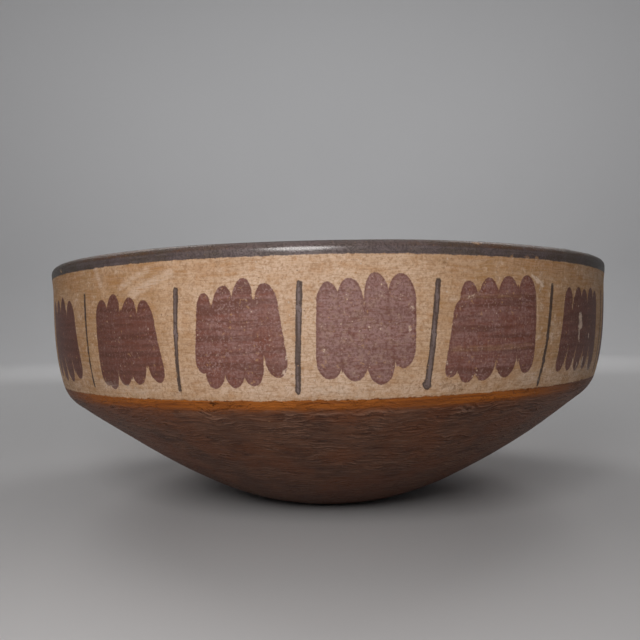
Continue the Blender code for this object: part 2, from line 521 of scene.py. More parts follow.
def stroke_distance(angle, height, strokes, top_end, bottom_end):
    """About how far each point lies outside the nearest stroke, in millimetres: below zero on it."""
    nearest = np.full(len(angle), FAR)
    scale = math.radians(1) * PAINT_RADIUS / MM
    for top_angle, top, bottom_angle, bottom, top_half, bottom_half in strokes:
        across = ((angle - top_angle + 180) % 360 - 180) * scale
        run = ((bottom_angle - top_angle + 180) % 360 - 180) * scale
        length = math.hypot(run, bottom - top)
        way = (across * run + (height - top) * (bottom - top)) / length
        side = np.abs(across * (bottom - top) - (height - top) * run) / length
        half = top_half + (bottom_half - top_half) * np.clip(way / length, 0, 1)
        upper = way < length / 2
        reach = np.where(upper, top_end[0] * top_half, bottom_end[0] * bottom_half)
        power = np.where(upper, top_end[1], bottom_end[1])
        beyond = np.maximum(reach - np.where(upper, way, length - way), 0)
        wide, far = side / half, beyond / reach
        level = np.maximum((wide**power + far**power) ** (1 / power), 0.05)
        steep = level ** (1 - power) * np.hypot(wide ** (power - 1) / half, far ** (power - 1) / reach)
        nearest = np.minimum(nearest, (level - 1) / np.maximum(steep, 0.2 / half))
    return nearest


# Marks of use, as strokes: pale wiped ones, places where the paint has come off, smudges of ochre,
# dirt and chalky film.
WIPED = [
    (-39.4, 80.2, -38.0, 73.4, 0.6, 0.8),
    (-22.8, 76.4, -31.2, 71.0, 0.9, 1.3),
    (-26.8, 77.8, -33.4, 73.0, 0.6, 0.6),
    (17.3, 68.1, 20.0, 68.9, 0.25, 0.4),
    (20.0, 68.9, 31.5, 69.6, 0.4, 0.2),
    (17.5, 56.1, 32.5, 56.4, 0.45, 0.4),
    (33.0, 70.0, 33.7, 58.0, 0.3, 0.3),
]
SPALLED = [
    (31.9, 74.9, 34.9, 71.9, 0.5, 0.75),
    (33.5, 71.2, 34.2, 70.2, 0.3, 0.3),
    (46.1, 65.3, 46.3, 60.2, 1.0, 1.2),
    (45.7, 60.6, 46.2, 56.6, 0.5, 0.35),
    (48.8, 52.6, 48.4, 49.6, 0.3, 0.5),
    (44.6, 52.4, 44.4, 49.8, 0.3, 0.4),
    (50.3, 59.0, 50.6, 57.6, 0.4, 0.4),
    (50.4, 52.0, 50.0, 49.4, 0.25, 0.4),
    (52.0, 51.4, 51.8, 49.0, 0.25, 0.4),
    (46.6, 51.6, 46.3, 49.4, 0.25, 0.35),
    (20.0, 68.9, 21.6, 69.1, 0.3, 0.25),
    (11.1, 61.6, 11.6, 60.6, 0.22, 0.22),
    (11.4, 66.8, 11.8, 66.0, 0.28, 0.2),
    (-5.9, 55.6, -6.0, 54.4, 0.45, 0.35),
    (-6.2, 51.6, -6.5, 50.7, 0.35, 0.35),
    (16.6, 53.4, 17.2, 52.5, 0.45, 0.35),
    (45.5, 67.2, 45.7, 66.6, 0.25, 0.25),
    (20.9, 82.3, 22.6, 82.3, 0.35, 0.35),
    (27.6, 79.4, 28.1, 79.1, 0.35, 0.3),
    (30.6, 79.3, 31.3, 79.0, 0.4, 0.3),
    (32.6, 79.2, 33.4, 78.9, 0.4, 0.3),
    (-53.4, 80.4, -52.2, 79.4, 0.4, 0.4),
    (-9.0, 73.3, -9.3, 72.4, 0.4, 0.3),
    (-5.7, 69.6, -5.5, 68.9, 0.35, 0.3),
    (-6.2, 53.0, -5.9, 52.0, 0.35, 0.35),
]
OCHRE_SMUDGES = [
    (-37.0, 76.6, -31.5, 73.6, 1.6, 2.0),
    (-19.8, 77.2, -15.5, 75.6, 1.1, 1.0),
    (-21.2, 67.5, -20.4, 60.5, 0.6, 0.9),
    (-5.5, 69.5, -5.2, 62.5, 0.5, 0.6),
    (1.5, 76.6, 8.5, 74.9, 0.8, 0.8),
    (12.5, 73.0, 13.0, 69.0, 0.7, 0.8),
    (-0.5, 76.8, -2.5, 75.0, 0.8, 0.8),
    (41.0, 77.8, 44.5, 75.2, 1.2, 1.4),
    (35.0, 72.0, 35.6, 63.5, 1.1, 0.9),
    (37.2, 53.4, 37.4, 50.0, 0.9, 0.9),
    (-44.6, 62.0, -44.2, 55.0, 0.9, 0.7),
    (-41.0, 70.5, -40.9, 63.5, 0.6, 0.6),
    (-57.0, 77.4, -44.0, 76.0, 2.2, 2.2),
    (-33.0, 78.3, -24.0, 77.9, 1.0, 1.2),
    (26.0, 78.0, 40.0, 77.2, 1.6, 2.0),
    (44.0, 75.0, 53.0, 74.0, 1.4, 1.4),
]
DIRT_SPOTS = [
    (16.4, 47.3, 20.6, 46.3, 0.8, 0.8),
    (17.6, 45.7, 20.0, 45.4, 0.35, 0.3),
    (-15.7, 77.7, -15.3, 77.3, 0.35, 0.3),
    (-31.5, 65.3, -31.3, 64.9, 0.3, 0.3),
    (14.6, 77.8, 16.6, 77.1, 0.25, 0.3),
    (23.6, 47.0, 23.8, 46.7, 0.25, 0.25),
    (-40.6, 61.8, -40.5, 61.0, 0.3, 0.3),
    (-24.5, 45.9, -21.5, 45.4, 0.4, 0.4),
]
CHALKY = [
    (47.0, 75.4, 60.0, 76.4, 0.9, 1.8),
    (51.0, 73.4, 56.5, 72.6, 0.8, 1.0),
    (37.0, 59.6, 38.6, 62.4, 0.4, 0.5),
    (46.0, 48.2, 56.0, 48.4, 0.7, 1.2),
    (30.0, 47.4, 35.0, 48.6, 0.9, 1.2),
    (-40.0, 47.6, -30.0, 45.9, 0.6, 0.9),
    (-2.5, 46.8, 6.0, 46.2, 0.8, 0.6),
]


def paint_body(body):
    """Stores each point's distance to the brush work, which the outside finish turns into paint."""
    mesh = body.data
    points = np.empty(len(mesh.vertices) * 3, np.float32)
    mesh.vertices.foreach_get("co", points)
    points = points.reshape(-1, 3)
    along = np.empty(len(mesh.vertices), np.float32)
    mesh.attributes["along"].data.foreach_get("value", along)
    angle = np.degrees(np.arctan2(points[:, 0], -points[:, 1]))
    height = points[:, 2] / MM
    rng = np.random.default_rng(HIDDEN_SEED)
    lines, blots = hidden_painting(rng)
    lines = SEEN_LINES + lines
    blots = SEEN_BLOTS + blots
    odd = [stroke for strokes, _, _ in blots for stroke in strokes[::2]]
    even = [stroke for strokes, _, _ in blots for stroke in strokes[1::2]]
    between = [stroke for blot in blots for stroke in filling(*blot)]
    on_wall = (along > MARK["orange bottom"]) & (along < MARK["lip middle"])
    layers = {
        "blots": [(odd, TOP_END, BOTTOM_END), (even, TOP_END, BOTTOM_END), (between, TOP_END, TOP_END)],
        "marks": [(strokes, LINE_END, LINE_END) for strokes in (lines, WIPED, SPALLED)],
        "stains": [(strokes, LINE_END, LINE_END) for strokes in (OCHRE_SMUDGES, DIRT_SPOTS, CHALKY)],
    }
    for name, sets in layers.items():
        stored = np.full((len(points), 3), FAR, np.float32)
        for column, given in enumerate(sets):
            stored[on_wall, column] = stroke_distance(angle[on_wall], height[on_wall], *given)
        made = mesh.attributes.new(name, "FLOAT_VECTOR", "POINT")
        made.data.foreach_set("vector", stored.ravel())


# Shader groups that both finishes use, some by way of others.
def shader_group(name, outputs, **inputs):
    """A shader group. An input is given as its kind or, for a number, as its usual value."""
    given = []
    for label, kind in inputs.items():
        given.append((label, kind, None) if isinstance(kind, str) else (label, FLOAT, kind))
    results = [(label, COLOUR if label == "Colour" else FLOAT) for label in outputs]
    return new_group("ShaderNodeTree", name, given, results)


def put_out(tree, result, **values):
    """Joins what a group has made to its outputs."""
    for label, value in values.items():
        tree.links.new(value, result[label])
    return tree


def streak_group():
    """Fine streaks that run round the bowl, as a wiping or burnishing hand leaves them."""
    inputs = {"Position": VECTOR, "Along": 0.0, "Length": 12.0, "Height": 0.6, "Seed": 0.0, "Waver": 0.0}
    tree, given, result = shader_group("streaks round", ("Streak", "Fine"), **inputs)
    flat = vector_calc(tree, "MULTIPLY", given["Position"], (1.0, 1.0, 0.0))
    share = calc(tree, "DIVIDE", 1.0, given["Length"])
    flat = scaled(tree, flat, share)
    bend = minus(tree, noise(tree, given["Position"], 0.11, 1.0), 0.5)
    level = plus(tree, given["Along"], times(tree, bend, given["Waver"]))
    up = plus(tree, calc(tree, "DIVIDE", level, given["Height"]), given["Seed"])
    place = vector_calc(tree, "ADD", flat, combined(tree, z=up))
    streak = ramp(tree, noise(tree, place, 1.0, 3.0, 0.55), 0.3, 0.7)
    return put_out(tree, result, Streak=streak, Fine=noise(tree, place, 2.7, 2.0, 0.6))


def speck_group():
    """Small round specks scattered over the surface, some kept by chance."""
    inputs = {"Position": VECTOR, "Spacing": 3.0, "Size": 0.15, "Share": 0.3}
    tree, given, result = shader_group("specks", ("Specks",), **inputs)
    place = scaled(tree, given["Position"], calc(tree, "DIVIDE", 1.0, given["Spacing"]))
    cells = add(tree, "ShaderNodeTexVoronoi", {"Vector": place, "Scale": 1.0})
    rough = times(tree, minus(tree, noise(tree, place, 5.0, 2.0), 0.5), times(tree, given["Size"], 1.6))
    gap = plus(tree, cells.outputs["Distance"], rough)
    draw = add(tree, "ShaderNodeSeparateColor", {0: cells.outputs["Color"]}).outputs
    limit = times(tree, given["Size"], plus(tree, 0.5, draw[1]))
    dot = ramp(tree, gap, limit, times(tree, limit, 0.5))
    kept = calc(tree, "LESS_THAN", draw[0], given["Share"])
    return put_out(tree, result, Specks=times(tree, dot, kept))


def cloud_group():
    """Two tones drifting into each other."""
    spread = {"Size": 10.0, "Low": 0.35, "High": 0.65}
    inputs = {"Position": VECTOR, **spread, "First": COLOUR, "Second": COLOUR}
    tree, given, result = shader_group("drifting tones", ("Colour", "Mask"), **inputs)
    place = scaled(tree, given["Position"], calc(tree, "DIVIDE", 1.0, given["Size"]))
    mask = ramp(tree, noise(tree, place, 1.0, 4.0, 0.6), given["Low"], given["High"])
    return put_out(tree, result, Colour=layered(tree, given["First"], given["Second"], mask), Mask=mask)


def edge_group():
    """Paint laid where a distance is below zero, with an edge that wobbles as a brush leaves it."""
    inputs = {"Position": VECTOR, "Distance": 0.0, "Wobble": 0.3, "Feather": 0.12}
    tree, given, result = shader_group("brushed edge", ("Paint", "Border"), **inputs)
    broad = minus(tree, noise(tree, given["Position"], 0.55, 1.0), 0.5)
    fine = minus(tree, noise(tree, given["Position"], 2.4, 2.0), 0.5)
    wobble = times(tree, plus(tree, broad, times(tree, fine, 0.8)), given["Wobble"])
    gap = plus(tree, given["Distance"], wobble)
    paint = ramp(tree, gap, given["Feather"], times(tree, given["Feather"], -1.0))
    border = times(tree, paint, ramp(tree, gap, -1.1, -0.1))
    return put_out(tree, result, Paint=paint, Border=border)


GROUPS = {
    "streaks": streak_group(),
    "specks": speck_group(),
    "clouds": cloud_group(),
    "edge": edge_group(),
}


def use(tree, name, **values):
    """A shader group placed in a material with its own values."""
    return add(tree, "ShaderNodeGroup", values, node_tree=GROUPS[name]).outputs


def rgb(red, green, blue):
    return (red, green, blue, 1.0)


# The middle of the place in front where the cream slip is painted paler, a painted sheen where the lamp in
# front falls, in millimetres.
CREAM_SHEEN_MIDDLE = (-6.0, -98.5, 62.0)
# The middle of the blot in front, round which the blots are painted greyer as a painted sheen and darker
# further off as painted shade.
BLOT_SHEEN_MIDDLE = (9.0, -98.0, 62.0)
# Where the lip's paint is whole up to its top, in the middle of the front; round it the band is painted
# paler as a painted highlight.
LIP_GLINT_MIDDLE = (-3.0, -98.0, 81.0)
CREAM = rgb(0.62, 0.395, 0.235)
CREAM_TAN = rgb(0.49, 0.275, 0.135)
CREAM_OCHRE = rgb(0.44, 0.20, 0.06)
CREAM_GOLDEN = rgb(0.43, 0.235, 0.095)
CREAM_PALE = rgb(0.73, 0.55, 0.425)
CREAM_GRAIN = rgb(0.33, 0.175, 0.082)
CHALK = rgb(0.66, 0.56, 0.47)
DIRT = rgb(0.20, 0.11, 0.055)
BLOT = rgb(0.235, 0.108, 0.092)
BLOT_RED = rgb(0.195, 0.06, 0.038)
BLOT_GREY = rgb(0.345, 0.21, 0.195)
BLOT_DUST = rgb(0.40, 0.265, 0.19)
BLOT_BORDER = rgb(0.145, 0.054, 0.042)
BLOT_DEEP = rgb(0.085, 0.032, 0.022)
LINE = rgb(0.062, 0.041, 0.036)
LINE_PALE = rgb(0.19, 0.145, 0.145)
BAND = rgb(0.125, 0.092, 0.092)
BAND_DARK = rgb(0.06, 0.036, 0.031)
BAND_PALE = rgb(0.20, 0.155, 0.155)
BAND_WORN = rgb(0.13, 0.062, 0.034)
BAND_OLIVE = rgb(0.095, 0.07, 0.042)
BAND_SIDE = rgb(0.046, 0.036, 0.025)
ORANGE = rgb(0.44, 0.13, 0.016)
ORANGE_DEEP = rgb(0.20, 0.055, 0.012)
UNDER = rgb(0.172, 0.066, 0.031)
UNDER_RED = rgb(0.20, 0.058, 0.018)
UNDER_DARK = rgb(0.070, 0.025, 0.013)
UNDER_PALE = rgb(0.31, 0.165, 0.108)
INSIDE = rgb(0.23, 0.10, 0.055)
INSIDE_DARK = rgb(0.14, 0.055, 0.03)
FLOOR_GREY = rgb(0.64, 0.64, 0.65)
# How deep the fine relief of each finish goes.
WALL_RELIEF = 0.07 * MM
INSIDE_RELIEF = 0.06 * MM


def split(tree, name):
    """The three values stored together on the points under one name."""
    stored = add(tree, "ShaderNodeAttribute", attribute_name=name).outputs["Vector"]
    return separated(tree, stored)


def drifting(tree, place, size, low, high, first, second):
    """One colour drifting into another in soft patches."""
    spread = {"Size": size, "Low": low, "High": high}
    return use(tree, "clouds", Position=place, First=first, Second=second, **spread)["Colour"]


def mottled(tree, place, size, low, high):
    """A mask of soft patches of one size."""
    return use(tree, "clouds", Position=place, Size=size, Low=low, High=high)["Mask"]


def specked(tree, place, spacing, size, share):
    """A mask of small specks, of which only a share is kept."""
    return use(tree, "specks", Position=place, Spacing=spacing, Size=size, Share=share)["Specks"]


def streaked(tree, place, along, **values):
    """The masks of streaks that run round the bowl."""
    return use(tree, "streaks", Position=place, Along=along, **values)


def brushed(tree, place, distance, wobble, feather):
    """The mask of paint that lies where a distance is below zero."""
    return use(tree, "edge", Position=place, Distance=distance, Wobble=wobble, Feather=feather)["Paint"]


def away_from(tree, place, middle):
    """How far each place lies from one point, in millimetres."""
    return add(tree, "ShaderNodeVectorMath", {0: place, 1: middle}, operation="DISTANCE").outputs["Value"]


def chosen(tree, amount, under, over):
    """One value where the mask is 0 and the other where it is 1."""
    kept = times(tree, under, minus(tree, 1.0, amount))
    return plus(tree, kept, times(tree, over, amount))


def new_finish(name):
    """An empty material, with the body's place in millimetres and the way along its section."""
    material = bpy.data.materials.new(name)
    material.use_nodes = True
    tree = material.node_tree
    shader = tree.nodes["Principled BSDF"]
    where = add(tree, "ShaderNodeTexCoord").outputs["Object"]
    place = scaled(tree, where, 1 / MM)
    along = add(tree, "ShaderNodeAttribute", attribute_name="along").outputs["Fac"]
    along = times(tree, along, 1 / MM)
    return material, tree, shader, place, along


def clay_group():
    """Brown slip rubbed to a low shine: drifting tones and streaks round the bowl, roughness and relief."""
    inputs = {"Position": VECTOR, "Along": 0.0, "Seed": 0.0, "Base": COLOUR, "Dark": COLOUR, "Pale": COLOUR}
    tree, given, result = shader_group("burnished clay", ("Colour", "Roughness", "Relief"), **inputs)
    place, along, seed = given["Position"], given["Along"], given["Seed"]
    base, dark, pale = given["Base"], given["Dark"], given["Pale"]
    colour = drifting(tree, place, 11.0, 0.38, 0.66, base, dark)
    streaks = streaked(tree, place, along, Length=22.0, Height=1.3, Seed=seed, Waver=4.0)
    colour = layered(tree, colour, pale, streaks["Streak"], 0.40)
    lines = streaked(tree, place, along, Length=9.0, Height=0.42, Seed=plus(tree, seed, 40.0), Waver=5.0)
    colour = layered(tree, colour, dark, ramp(tree, lines["Streak"], 0.5, 1.0), 0.6)
    rubbed = streaked(tree, place, along, Length=7.0, Height=0.35, Seed=plus(tree, seed, 80.0), Waver=4.0)
    colour = layered(tree, colour, pale, ramp(tree, rubbed["Streak"], 0.6, 1.0), 0.6)
    grain = mottled(tree, place, 0.9, 0.35, 0.65)
    colour = layered(tree, colour, dark, grain, 0.25)
    specks = specked(tree, place, 2.6, 0.1, 0.25)
    colour = layered(tree, colour, CREAM_TAN, specks, 0.45)
    # Short grooves left by pebbles, in patches: each is sunk in the relief and painted dark as painted
    # shade, with a pale ridge above it as a painted highlight.
    patches = mottled(tree, place, 13.0, 0.38, 0.54)
    pebble = {"Length": 4.0, "Height": 0.8, "Seed": plus(tree, seed, 120.0), "Waver": 5.0}
    gouged = streaked(tree, place, along, **pebble)
    grooves = times(tree, ramp(tree, gouged["Streak"], 0.58, 0.86), patches)
    ridged = streaked(tree, place, plus(tree, along, -0.5), **pebble)
    ridge_highlight = times(tree, ramp(tree, ridged["Streak"], 0.58, 0.86), patches)
    colour = layered(tree, colour, pale, ridge_highlight, 0.7)
    colour = layered(tree, colour, dark, grooves, 0.65)
    rough = plus(tree, 0.34, times(tree, streaks["Fine"], 0.26))
    relief = plus(tree, times(tree, streaks["Streak"], 0.45), times(tree, lines["Fine"], 0.8))
    relief = minus(tree, relief, times(tree, ramp(tree, lines["Streak"], 0.7, 1.0), 0.5))
    relief = minus(tree, relief, times(tree, grooves, 1.6))
    return put_out(tree, result, Colour=colour, Roughness=rough, Relief=relief)


def lip_band_group():
    """The dark band over the lip, rubbed red-brown on top, the mask of where it lies, and its shine."""
    outputs = ("Colour", "Roughness", "Relief", "Mask", "Shine")
    tree, given, result = shader_group("lip band", outputs, Position=VECTOR, Along=0.0)
    place, along = given["Position"], given["Along"]
    streaks = streaked(tree, place, along, Length=16.0, Height=0.5, Seed=11.0)
    colour = drifting(tree, place, 5.0, 0.35, 0.7, BAND, BAND_PALE)
    colour = layered(tree, colour, BAND_DARK, streaks["Streak"], 0.5)
    grain = mottled(tree, place, 0.7, 0.4, 0.65)
    colour = layered(tree, colour, BAND_DARK, grain, 0.3)
    from_top = calc(tree, "ABSOLUTE", minus(tree, along, MARK_MM["lip middle"]))
    near_top = ramp(tree, from_top, 3.5, 2.6)
    patches = mottled(tree, place, 6.0, 0.40, 0.62)
    worn = times(tree, near_top, plus(tree, 0.35, times(tree, patches, 0.6)))
    spared = away_from(tree, place, LIP_GLINT_MIDDLE)
    worn = times(tree, worn, ramp(tree, spared, 10.0, 26.0, 0.2, 1.0))
    colour = layered(tree, colour, BAND_WORN, worn)
    olive = mottled(tree, place, 9.0, 0.44, 0.6)
    colour = layered(tree, colour, BAND_OLIVE, olive, 0.45)
    fine = mottled(tree, place, 0.4, 0.5, 0.68)
    colour = layered(tree, colour, BAND_PALE, fine, 0.4)
    # Painted highlight: the band is painted paler round the front middle.
    colour = layered(tree, colour, BAND_PALE, ramp(tree, spared, 46.0, 8.0, 0.0, 0.45))
    flecks = specked(tree, place, 0.9, 0.16, 0.22)
    colour = layered(tree, colour, CREAM_TAN, flecks, 0.4)
    # A painted highlight: a pale line where the lip starts to turn over.
    edge = ramp(tree, calc(tree, "ABSOLUTE", minus(tree, along, MARK_MM["lip start"])), 0.45, 0.1)
    edge = times(tree, edge, ramp(tree, streaks["Fine"], 0.35, 0.6))
    colour = layered(tree, colour, BAND_PALE, edge, 0.4)
    # The band reaches a little lower on the bowl's two sides, most of all on the right.
    side = calc(tree, "DIVIDE", separated(tree, place)[0], PAINT_RADIUS / MM)
    square = times(tree, side, side)
    # Painted shade: the band is painted darker toward the two sides.
    colour = layered(tree, colour, BAND_SIDE, ramp(tree, square, 0.25, 0.8, 0.0, 0.75))
    colour = layered(tree, colour, BAND_OLIVE, ramp(tree, streaks["Fine"], 0.5, 0.66), 0.35)
    drop = times(tree, square, plus(tree, 0.85, times(tree, side, 0.35)))
    low = minus(tree, minus(tree, MARK_MM["band bottom"], drop), along)
    high = minus(tree, along, (MARK["lip end"] + BAND_INSIDE) / MM)
    reach = calc(tree, "MAXIMUM", low, high)
    covered = brushed(tree, place, reach, 0.5, 0.16)
    rough = plus(tree, 0.24, plus(tree, times(tree, streaks["Fine"], 0.16), times(tree, grain, 0.1)))
    relief = plus(tree, times(tree, fine, 2.6), times(tree, streaks["Fine"], 1.0))
    relief = minus(tree, relief, times(tree, flecks, 0.6))
    # Hands have rubbed it brightest in front and at the back.
    shine = ramp(tree, calc(tree, "ABSOLUTE", side), 0.22, 0.62, 0.9, 0.12)
    shine = times(tree, shine, minus(tree, 1.0, times(tree, near_top, 0.55)))
    shine = times(tree, shine, covered)
    return put_out(tree, result, Colour=colour, Roughness=rough, Relief=relief, Mask=covered, Shine=shine)


GROUPS["burnished clay"] = clay_group()
GROUPS["lip band"] = lip_band_group()


def finish_surface(tree, shader, colour, rough, relief, depth, coated):
    """Colour, roughness, shine and fine relief into the shader."""
    bump = add(tree, "ShaderNodeBump", {"Height": relief, "Distance": depth, "Strength": 1.0})
    tree.links.new(colour, shader.inputs["Base Color"])
    tree.links.new(rough, shader.inputs["Roughness"])
    tree.links.new(bump.outputs[0], shader.inputs["Normal"])
    shader.inputs["Specular IOR Level"].default_value = 0.15
    shader.inputs["Coat Roughness"].default_value = 0.2
    tree.links.new(coated, shader.inputs["Coat Weight"])


def cream_slip(tree, place, along, stains):
    """Cream slip: drifting tan and ochre, wiped in fine streaks, with grains, smudges and dark specks."""
    cream = drifting(tree, place, 14.0, 0.36, 0.60, CREAM, CREAM_TAN)
    from_cream_sheen = away_from(tree, place, CREAM_SHEEN_MIDDLE)
    # Painted sheen: the cream is painted paler round the front middle, where the lamp in front falls, and
    # tanner and more golden away from it as painted falloff toward the sides.
    cream = layered(tree, cream, CREAM_PALE, ramp(tree, from_cream_sheen, 50.0, 12.0), 0.60)
    cream = layered(tree, cream, CREAM_TAN, ramp(tree, from_cream_sheen, 30.0, 76.0), 0.60)
    golden = mottled(tree, place, 7.0, 0.46, 0.62)
    golden = times(tree, golden, ramp(tree, from_cream_sheen, 14.0, 60.0, 0.12, 0.78))
    cream = layered(tree, cream, CREAM_GOLDEN, golden)
    # Golden, pale and brown patches, laid stronger away from the painted sheen in front.
    off_sheen = ramp(tree, from_cream_sheen, 20.0, 72.0, 0.10, 0.68)
    tanned = times(tree, mottled(tree, place, 2.1, 0.50, 0.62), off_sheen)
    cream = layered(tree, cream, CREAM_GOLDEN, tanned)
    elsewhere = vector_calc(tree, "ADD", place, (31.0, 17.0, 5.0))
    spared = times(tree, mottled(tree, elsewhere, 1.9, 0.54, 0.66), off_sheen)
    cream = layered(tree, cream, CREAM_PALE, spared)
    browned = times(tree, mottled(tree, elsewhere, 4.2, 0.54, 0.68), off_sheen)
    cream = layered(tree, cream, CREAM_GRAIN, browned, 0.8)
    ochre = mottled(tree, place, 3.6, 0.50, 0.66)
    cream = layered(tree, cream, CREAM_OCHRE, ochre, 0.52)
    smudged = brushed(tree, place, stains[0], 3.0, 1.3)
    cream = layered(tree, cream, CREAM_OCHRE, smudged, 0.50)
    low = ramp(tree, along, MARK_MM["cream bottom"] + 9.0, MARK_MM["cream bottom"] + 1.0)
    pale = mottled(tree, place, 5.0, 0.36, 0.6)
    cream = layered(tree, cream, CREAM_PALE, times(tree, low, pale), 0.55)
    soiled = ramp(tree, along, MARK_MM["cream bottom"] + 2.6, MARK_MM["cream bottom"])
    cream = layered(tree, cream, CREAM_TAN, soiled, 0.45)
    wiping = streaked(tree, place, along, Length=9.0, Height=0.5, Seed=3.0, Waver=2.0)
    cream = layered(tree, cream, CREAM_PALE, wiping["Streak"], 0.35)
    cream = layered(tree, cream, CREAM_TAN, ramp(tree, wiping["Fine"], 0.5, 0.7), 0.45)
    hairs = streaked(tree, place, along, Length=5.0, Height=0.32, Seed=57.0, Waver=2.5)["Streak"]
    cream = layered(tree, cream, CREAM_GRAIN, ramp(tree, hairs, 0.72, 1.0), 0.45)
    grain = mottled(tree, place, 0.8, 0.47, 0.66)
    cream = layered(tree, cream, CREAM_GRAIN, grain, 0.54)
    fine = mottled(tree, place, 0.42, 0.47, 0.64)
    cream = layered(tree, cream, CREAM_GRAIN, fine, 0.34)
    dots = specked(tree, place, 1.3, 0.2, 0.35)
    cream = layered(tree, cream, CREAM_OCHRE, dots, 0.40)
    specks = specked(tree, place, 1.5, 0.12, 0.3)
    cream = layered(tree, cream, DIRT, specks, 0.75)
    light = specked(tree, place, 1.9, 0.12, 0.25)
    cream = layered(tree, cream, CHALK, light, 0.55)
    dirty = brushed(tree, place, stains[1], 2.2, 0.8)
    dirty = times(tree, dirty, plus(tree, 0.25, times(tree, plus(tree, grain, fine), 0.5)))
    cream = layered(tree, cream, DIRT, dirty, 0.7)
    return cream, wiping, grain


def painted_blots(tree, place, along, nearest, wiped):
    """Thin purple-brown paint, redder and greyer in places, streaked, with a heavier border; greyer round
    the front middle as a painted sheen and darker toward the sides as painted shade.
    """
    laid = use(tree, "edge", Position=place, Distance=nearest, Wobble=0.4, Feather=0.13)
    blot = drifting(tree, place, 8.0, 0.36, 0.60, BLOT, BLOT_RED)
    from_blot_sheen = away_from(tree, place, BLOT_SHEEN_MIDDLE)
    # Painted sheen and shade: greyer round the front middle, redder further off, and darkest toward the
    # sides.
    blot = layered(tree, blot, BLOT_GREY, ramp(tree, from_blot_sheen, 28.0, 8.0), 0.72)
    blot = layered(tree, blot, BLOT_RED, ramp(tree, from_blot_sheen, 28.0, 62.0), 0.80)
    deep = ramp(tree, from_blot_sheen, 32.0, 82.0)
    blot = layered(tree, blot, BLOT_DEEP, deep, 0.80)
    dragged = streaked(tree, place, along, Length=10.0, Height=1.1, Seed=23.0, Waver=2.0)
    # How much of the blot lies out of the painted shade at the sides; the grey streaks and pale specks are
    # kept mostly there.
    thin = minus(tree, 1.0, times(tree, deep, 0.7))
    blot = layered(tree, blot, BLOT_GREY, times(tree, times(tree, dragged["Streak"], 0.45), thin))
    combed = streaked(tree, place, along, Length=0.8, Height=8.0, Seed=5.0)
    combing = times(tree, times(tree, ramp(tree, combed["Streak"], 0.4, 1.0), 0.35), thin)
    blot = layered(tree, blot, BLOT_GREY, combing)
    blot = layered(tree, blot, BLOT_RED, ramp(tree, dragged["Fine"], 0.48, 0.66), 0.60)
    # Dark bars, laid heavier toward the sides as painted shade.
    bars = streaked(tree, place, along, Length=26.0, Height=1.5, Seed=91.0, Waver=1.2)["Streak"]
    barred = times(tree, ramp(tree, bars, 0.5, 0.85), ramp(tree, from_blot_sheen, 10.0, 34.0, 0.2, 0.58))
    blot = layered(tree, blot, BLOT_DEEP, barred)
    dusty = times(tree, mottled(tree, place, 1.7, 0.48, 0.62), ramp(tree, from_blot_sheen, 30.0, 8.0, 0.0, 0.34))
    blot = layered(tree, blot, BLOT_DUST, dusty)
    blot = layered(tree, blot, BLOT_BORDER, laid["Border"], 0.55)
    grain = mottled(tree, place, 0.7, 0.44, 0.60)
    blot = layered(tree, blot, BLOT_BORDER, grain, 0.62)
    rubbed = mottled(tree, place, 0.6, 0.50, 0.64)
    clustered = mottled(tree, place, 7.0, 0.42, 0.58)
    rubbed = times(tree, rubbed, plus(tree, 0.30, times(tree, clustered, 0.45)))
    blot = layered(tree, blot, BLOT_GREY, times(tree, rubbed, thin))
    crumbs = mottled(tree, place, 1.1, 0.62, 0.70)
    blot = layered(tree, blot, CREAM_TAN, crumbs, 0.55)
    small = specked(tree, place, 0.95, 0.2, 0.22)
    blot = layered(tree, blot, CREAM_PALE, times(tree, times(tree, small, 0.30), thin))
    large = specked(tree, place, 1.35, 0.17, 0.40)
    large = times(tree, large, plus(tree, 0.35, times(tree, clustered, 0.65)))
    blot = layered(tree, blot, CREAM_PALE, times(tree, times(tree, large, 0.70), thin))
    return layered(tree, blot, CREAM_TAN, wiped, 0.40), laid["Paint"], small


